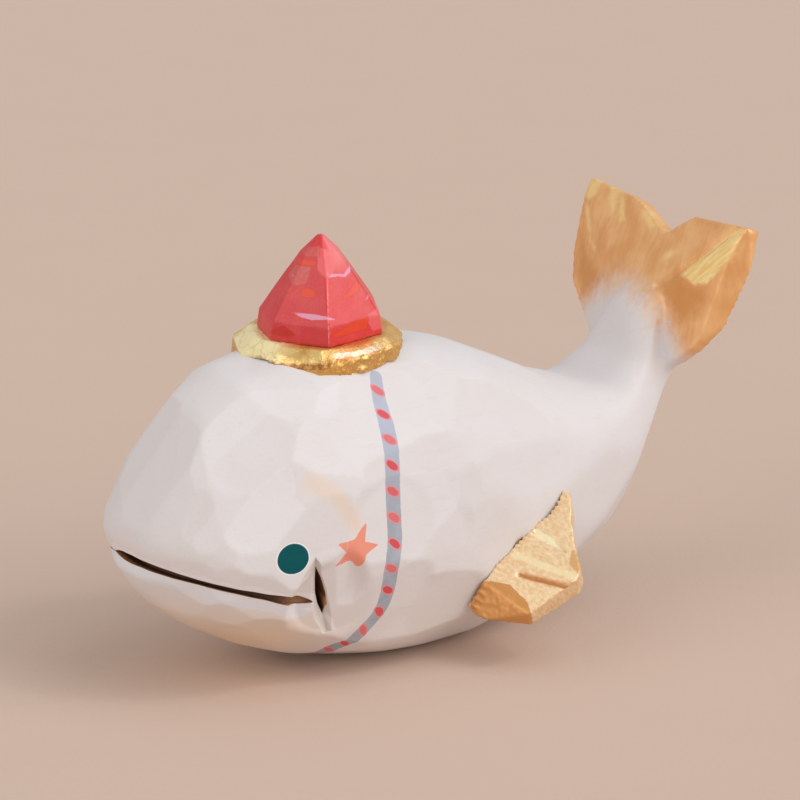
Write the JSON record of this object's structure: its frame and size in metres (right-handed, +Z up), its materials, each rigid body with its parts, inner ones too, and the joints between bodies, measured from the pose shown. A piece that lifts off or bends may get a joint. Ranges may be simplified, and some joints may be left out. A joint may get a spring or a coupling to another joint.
{
  "type": "whale figurine",
  "caption": "Small hand-carved wooden whale that stands on the flat of its belly, with raised flukes, side fins and a faceted cone hat on a collar.",
  "frame": {"origin": "middle of the underside of the bounding box, on the surface that the whale stands on", "axes": "snout towards -X, tail towards +X, the whale's left side towards -Y, +Z up"},
  "size_m": [0.111, 0.0624, 0.0697],
  "materials": {
    "whitewashed_wood": "matt whitewash over carved wood",
    "gold_leaf": "crinkled gold leaf over wood, glossy",
    "red_lacquer": "coral red lacquer over wood, satin",
    "gold_paint": "metallic gold paint over wood, satin",
    "bare_wood": "bare turned dowel, hidden"
  },
  "bodies": {
    "root": {"body": "whitewashed_wood", "hat_brim": "gold_leaf", "hat_cone": "red_lacquer", "hat_dowel": "bare_wood", "left_pectoral_fin": "gold_paint", "right_pectoral_fin": "gold_paint", "left_fin_dowel": "bare_wood", "right_fin_dowel": "bare_wood"}
  },
  "joints": []
}
